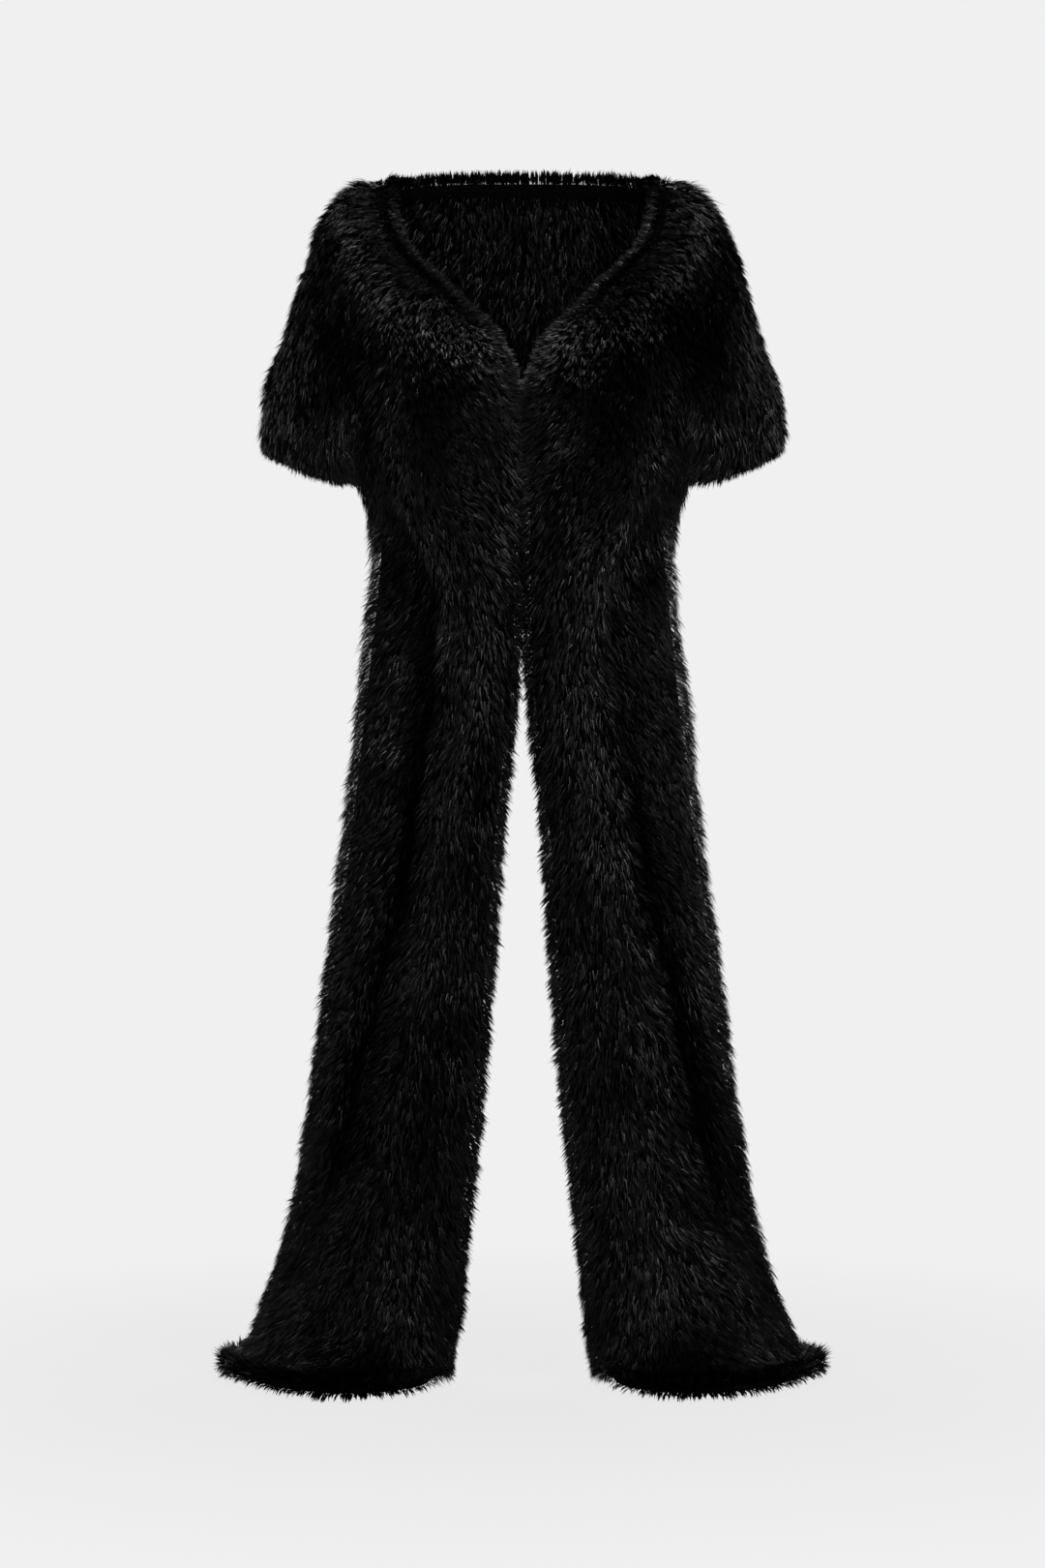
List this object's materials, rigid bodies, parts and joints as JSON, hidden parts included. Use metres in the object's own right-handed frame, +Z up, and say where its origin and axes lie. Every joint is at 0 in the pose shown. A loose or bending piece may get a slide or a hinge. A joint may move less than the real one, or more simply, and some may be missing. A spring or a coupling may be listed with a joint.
{
  "type": "faux fur shawl",
  "caption": "Long faux fur shawl, draped round back and shoulders as worn, with two pleated falls that hang to the floor and spread forward.",
  "frame": {"origin": "midway between the wearer's shoulders, at their height, 1.345 m above the floor that the hems lie on", "axes": "+Z up, the front faces -Y, +X towards the wearer's left"},
  "size_m": [0.6882, 0.3614, 1.3937],
  "materials": {
    "fur_back": "black faux fur, acrylic pile",
    "fur_shoulder_right": "black faux fur, acrylic pile",
    "fur_shoulder_left": "black faux fur, acrylic pile",
    "fur_fall_right": "black faux fur, acrylic pile",
    "fur_fall_left": "black faux fur, acrylic pile",
    "fur_hem_right": "black faux fur, acrylic pile",
    "fur_hem_left": "black faux fur, acrylic pile"
  },
  "bodies": {
    "root": {"back": "fur_back", "shoulder_right": "fur_shoulder_right", "shoulder_left": "fur_shoulder_left", "fall_right": "fur_fall_right", "fall_left": "fur_fall_left", "hem_right": "fur_hem_right", "hem_left": "fur_hem_left"}
  },
  "joints": []
}
